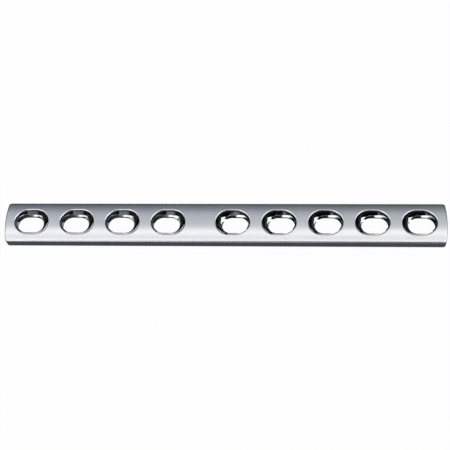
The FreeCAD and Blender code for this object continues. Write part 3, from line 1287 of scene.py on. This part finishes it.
@dataclass(frozen=True)
class ShadeAndLightPoolCard:
    """Dark card under the plate as painted shade, with painted pools of light under the slots.

    A faint strip runs along the plate's front for its side to mirror. Under each slot there is
    light on the near side, for the lower part of the seat, and on the far side, for the slot's
    wall. The ends are from the middle of the plate.
    """

    level: float = -0.05 * MM
    ends: tuple[float, float] = (-115.0 * MM, 80.0 * MM)
    near_edge: float = -14.0 * MM
    far_edge: float = 28.0 * MM
    strip_light: float = 0.085
    strip_start: float = -5.0 * MM
    strip_end: float = -8.0 * MM
    near_start: float = -2.4 * MM
    near_end: float = 1.1 * MM
    far_end: float = 2.1 * MM
    left_lights: tuple[SlotLight, ...] = (
        SlotLight(-3.0 * MM, 0.3, 0.0),
        SlotLight(-2.0 * MM, 1.2, 0.03),
        SlotLight(-1.2 * MM, 1.2, 0.06),
        SlotLight(-0.1 * MM, 1.2, 0.30),
        SlotLight(0.5 * MM, 1.2, 1.7),
        SlotLight(1.3 * MM, 1.2, 1.7),
        SlotLight(1.5 * MM, 0.1, 1.7),
        SlotLight(1.9 * MM, 0.1, 1.5),
        SlotLight(2.1 * MM, 0.0, 0.0),
    )
    right_lights: tuple[SlotLight, ...] = (
        SlotLight(-2.75 * MM, 0.0, 0.0),
        SlotLight(-2.7 * MM, 0.0, 1.8),
        SlotLight(-2.2 * MM, 0.0, 1.8),
        SlotLight(-2.1 * MM, 0.0, 0.0),
        SlotLight(-2.0 * MM, 1.2, 0.0),
        SlotLight(-0.1 * MM, 1.2, 0.05),
        SlotLight(0.3 * MM, 1.2, 1.8),
        SlotLight(1.3 * MM, 1.2, 1.8),
        SlotLight(1.5 * MM, 0.1, 0.4),
        SlotLight(1.9 * MM, 0.0, 0.0),
    )

    def card(self, holes: list[tuple[Side, float]]) -> Card:
        """Lay the card out.

        Args:
            holes: Group and place along the plate of each hole.

        Returns:
            The card.
        """
        first_x, last_x = self.ends
        columns = [SlotLight(first_x, 0.0, 0.0)]
        for side, x in sorted(holes, key=operator.itemgetter(1)):
            lights = self.left_lights if side is Side.LEFT else self.right_lights
            columns += [light._replace(offset=x + light.offset) for light in lights]
        columns.append(SlotLight(last_x, 0.0, 0.0))
        # Painted shade: black under the plate and in front of it, round the dim strip; painted
        # pools of light under the slots.
        lines = (
            (self.near_edge, BLACK_LEVEL, 0.0, 0.0),
            (self.strip_end, BLACK_LEVEL, 0.0, 0.0),
            (self.strip_end, self.strip_light, 0.0, 0.0),
            (self.strip_start, self.strip_light, 0.0, 0.0),
            (self.strip_start, BLACK_LEVEL, 0.0, 0.0),
            (self.near_start, BLACK_LEVEL, 1.0, 0.0),
            (self.near_end, BLACK_LEVEL, 1.0, 0.0),
            (self.near_end, BLACK_LEVEL, 0.0, 1.0),
            (self.far_end, BLACK_LEVEL, 0.0, 1.0),
            (self.far_end, BLACK_LEVEL, 0.0, 0.0),
            (self.far_edge, BLACK_LEVEL, 0.0, 0.0),
        )
        corners = [[(column.offset, y, self.level) for column in columns] for y, *_ in lines]
        levels = [
            [base + column.near * near + column.far * far for column in columns]
            for _, base, near, far in lines
        ]
        return Card("table_card", np.array(corners), np.array(levels))


@dataclass(frozen=True)
class UpperCards:
    """Cards behind, over, before and beside the plate.

    Angles over the plate are in degrees, from the horizon behind it, over the top, to the
    front. Each band of the back card is an angle with its light: a dim wall behind, then the
    pale overhead, a bright strip, a darker gap and the bright edge towards the camera. The
    lens's direction is an angle along the plate and one over it, and a box has two of each.
    """

    radius: float = 0.5
    reach: float = 1.07
    back_bands: tuple[tuple[float, float], ...] = (
        (0.0, 0.16),
        (24.0, 0.12),
        (34.0, 0.05),
        (40.0, 0.06),
        (44.0, 0.10),
        (49.0, 0.21),
        (52.0, 0.40),
        (55.0, 0.62),
        (58.0, 0.66),
        (72.5, 0.72),
        (75.0, 1.60),
        (80.3, 1.60),
        (81.3, 0.52),
        (83.8, 0.52),
        (84.4, 1.45),
        (94.0, 1.45),
    )
    front_horizon: float = 180.0
    front_edge_left: float = 148.0
    front_edge_right: float = 134.0
    grey_front: tuple[float, float] = (-0.29, -0.05)
    grey_levels: tuple[float, float] = (0.05, 0.30)
    side_level: float = 0.05
    lens_direction: tuple[float, float] = (4.0, 112.0)
    lens_spread: float = 15.0
    lens_distance: float = 0.3
    box_light: float = 1.8
    box_share: float = 0.8
    box_rows: int = 6
    right_box: tuple[float, float, float, float] = (33.0, 63.0, 66.0, 138.0)
    left_box: tuple[float, float, float, float] = (-49.0, -20.0, 112.0, 143.0)

    def arc_point(self, angle: float) -> tuple[float, float]:
        """Place on the arc of cards, across the plate and upwards, at an angle."""
        turn = math.radians(angle)
        return self.radius * math.cos(turn), self.radius * math.sin(turn)

    def back_card(self) -> Card:
        """Lay out the graded card behind and over the plate.

        Returns:
            The card.
        """
        rows, levels = [], []
        for angle, level in self.back_bands:
            y, z = self.arc_point(angle)
            rows.append([(x, y, z) for x in (-self.reach, self.reach)])
            levels.append([level, level])
        return Card("back_card", np.array(rows), np.array(levels))

    def front_cards(self) -> list[Card]:
        """Lay out the dark cards in front, the left ones lower and one of them grey.

        Returns:
            The cards.
        """
        cards = []
        depth, _ = self.arc_point(self.front_horizon)
        grey_from, grey_to = self.grey_front
        black = (BLACK_LEVEL, BLACK_LEVEL)
        for name, start, end, edge, levels in (
            ("front_card_far_left", -self.reach, grey_from, self.front_edge_left, black),
            ("front_card_grey", grey_from, grey_to, self.front_edge_left, self.grey_levels),
            ("front_card_left", grey_to, 0.0, self.front_edge_left, black),
            ("front_card_right", 0.0, self.reach, self.front_edge_right, black),
        ):
            top = -depth * math.tan(math.radians(self.front_horizon - edge))
            corners = np.array([[(start, depth, z), (end, depth, z)] for z in (0.0, top)])
            cards.append(Card(name, corners, np.array([levels, levels])))
        return cards

    def side_cards(self) -> list[Card]:
        """Lay out the dark cards past both ends of the plate.

        Returns:
            The cards.
        """
        cards = []
        for side in Side:
            x = float(side) * self.reach
            half = self.radius
            corners = np.array([[(x, -half, z), (x, half, z)] for z in (0.0, half)])
            name = f"side_card_{side.name.lower()}"
            cards.append(Card(name, corners, np.full((2, 2), self.side_level)))
        return cards

    def box_cards(self) -> list[Card]:
        """Lay out the bright soft boxes on both sides of the camera.

        Returns:
            The cards.
        """
        cards = []
        radius = self.radius * self.box_share
        for name, limits in (("right_box", self.right_box), ("left_box", self.left_box)):
            first, last, low, high = limits
            reach = [math.tan(math.radians(side)) * radius for side in (first, last)]
            turns = np.radians(spaced(low, high, self.box_rows))
            rows = [
                [(x, radius * math.cos(turn), radius * math.sin(turn)) for x in reach]
                for turn in turns
            ]
            cards.append(Card(name, np.array(rows), np.full((len(rows), 2), self.box_light)))
        return cards

    def lens_card(self) -> Card:
        """Lay out the dark shape of the camera and its stand, as the seats mirror it.

        Returns:
            The card.
        """
        sideways, over = (math.radians(value) for value in self.lens_direction)
        ahead = Vector((
            math.sin(sideways),
            math.cos(sideways) * math.cos(over),
            math.cos(sideways) * math.sin(over),
        ))
        across = ahead.cross(Vector((1.0, 0.0, 0.0))).normalized()
        along = ahead.cross(across)
        reach = math.tan(math.radians(self.lens_spread))
        ends = (-1.0, 1.0)
        rows = [
            [(ahead + (across * b + along * a) * reach) * self.lens_distance for a in ends]
            for b in ends
        ]
        return Card("lens_card", np.array(rows), np.full((2, 2), BLACK_LEVEL))


def seen_directly(nodes: NodeTree) -> bpy.types.NodeSocket:
    """Tell what the camera sees, directly, mirrored or through glass.

    Args:
        nodes: Tree of the floor or of the surroundings.

    Returns:
        One for what it sees and zero otherwise.
    """
    path = nodes.add("ShaderNodeLightPath").outputs
    either = nodes.math("MAXIMUM", path["Is Camera Ray"], path["Is Glossy Ray"])
    return nodes.math("MAXIMUM", either, path["Is Transmission Ray"])


@dataclass(frozen=True)
class WhiteRoom:
    """White floor and surroundings, with one large soft box overhead."""

    floor_level: float = -0.1 * MM
    floor_half: float = 1.5
    floor_shade: float = 0.9
    floor_glow: float = 0.95
    room_light: float = 0.6
    box_size: tuple[float, float] = (0.9, 0.8)
    box_power: float = 3.0
    box_place: tuple[float, float, float] = (0.0, -0.12, 0.7)

    def floor(self) -> None:
        """Lay the floor, which looks white and keeps a faint shadow."""
        half = self.floor_half
        mesh = bpy.data.meshes.new("floor")
        corners = [(-half, -half), (half, -half), (half, half), (-half, half)]
        mesh.from_pydata([(x, y, self.floor_level) for x, y in corners], [], [(0, 1, 2, 3)])
        plane = placed("floor", mesh)
        material, nodes = new_material("white_floor")
        shade = (self.floor_shade, self.floor_shade, self.floor_shade, 1.0)
        seen = nodes.math("MULTIPLY", seen_directly(nodes), self.floor_glow)
        paper = nodes.add("ShaderNodeBsdfDiffuse", Color=shade)
        mix = nodes.add("ShaderNodeMixShader", seen, paper, nodes.add("ShaderNodeEmission"))
        nodes.add("ShaderNodeOutputMaterial", Surface=mix)
        mesh.materials.append(material)

    def surroundings(self) -> None:
        """Make the world white where it is seen, and a plain pale light elsewhere."""
        world = bpy.data.worlds.new("studio")
        world.use_nodes = True
        bpy.context.scene.world = world
        nodes = NodeTree(world.node_tree)
        rest = 1.0 - self.room_light
        level = nodes.math("MULTIPLY_ADD", seen_directly(nodes), rest, self.room_light)
        dimmed = nodes.math("MULTIPLY", level, dimmed_by_bounces(nodes))
        background = nodes.add("ShaderNodeBackground", Strength=dimmed)
        nodes.add("ShaderNodeOutputWorld", Surface=background)

    def soft_box(self) -> None:
        """Hang the soft box, for the floor and for whatever isn't polished."""
        data = bpy.data.lights.new("soft_box", "AREA")
        data.shape = "RECTANGLE"
        data.size, data.size_y = self.box_size
        data.energy = self.box_power
        lamp = placed("soft_box", data)
        lamp.location = self.box_place
        lamp.visible_glossy = False

    def build(self) -> None:
        """Set the room up."""
        self.floor()
        self.surroundings()
        self.soft_box()


@dataclass(frozen=True)
class PhotoCamera:
    """Camera at the photograph's angle, with its angles in radians."""

    elevation: float = math.radians(64.99)
    yaw: float = math.radians(-10.47)
    roll: float = math.radians(-9.34)
    target: tuple[float, float, float] = (0.165 * MM, 0.672 * MM, 0.065 * MM)
    distance: float = 320.24 * MM
    lens: float = 98.01
    sensor: float = 36.0
    nearest: float = 0.01
    farthest: float = 20.0

    def build(self) -> None:
        """Set the camera up and look through it."""
        along = Vector((
            math.sin(self.yaw) * math.cos(self.elevation),
            math.cos(self.yaw) * math.cos(self.elevation),
            -math.sin(self.elevation),
        ))
        level = Vector((math.cos(self.yaw), -math.sin(self.yaw), 0.0))
        upright = level.cross(along)
        right = level * math.cos(self.roll) + upright * math.sin(self.roll)
        up = upright * math.cos(self.roll) - level * math.sin(self.roll)
        data = bpy.data.cameras.new("camera")
        data.lens = self.lens
        data.sensor_width = self.sensor
        data.clip_start = self.nearest
        data.clip_end = self.farthest
        camera = placed("camera", data)
        turn = Matrix((right, up, -along)).transposed()
        place = Vector(self.target) - along * self.distance
        camera.matrix_world = Matrix.Translation(place) @ turn.to_4x4()
        bpy.context.scene.camera = camera


@dataclass(frozen=True)
class Studio:
    """Room, cards and camera round the plate. None of it is part of the object."""

    room: WhiteRoom = field(default_factory=WhiteRoom)
    upper: UpperCards = field(default_factory=UpperCards)
    shade_card: ShadeAndLightPoolCard = field(default_factory=ShadeAndLightPoolCard)
    camera: PhotoCamera = field(default_factory=PhotoCamera)

    def build(self, holes: list[tuple[Side, float]]) -> None:
        """Set everything up.

        Args:
            holes: Group and place along the plate of each hole.
        """
        self.room.build()
        upper = self.upper
        cards = [upper.back_card(), upper.lens_card(), self.shade_card.card(holes)]
        cards += upper.box_cards() + upper.front_cards() + upper.side_cards()
        for card in cards:
            card.build()
        self.camera.build()
        LOG.info("studio: floor, soft box, camera and %d cards", len(cards))


def main() -> None:
    """Build the plate, then the studio, and report each piece."""
    logging.basicConfig(level=logging.INFO, format="%(name)s: %(message)s")
    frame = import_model()
    LOG.info("frame: %d node", len(frame["nodes"]))
    plate = BonePlate()
    plate.build()
    Studio().build(plate.rows().holes())
    bpy.context.scene.view_settings.view_transform = "Standard"


if __name__ == "__main__":
    main()
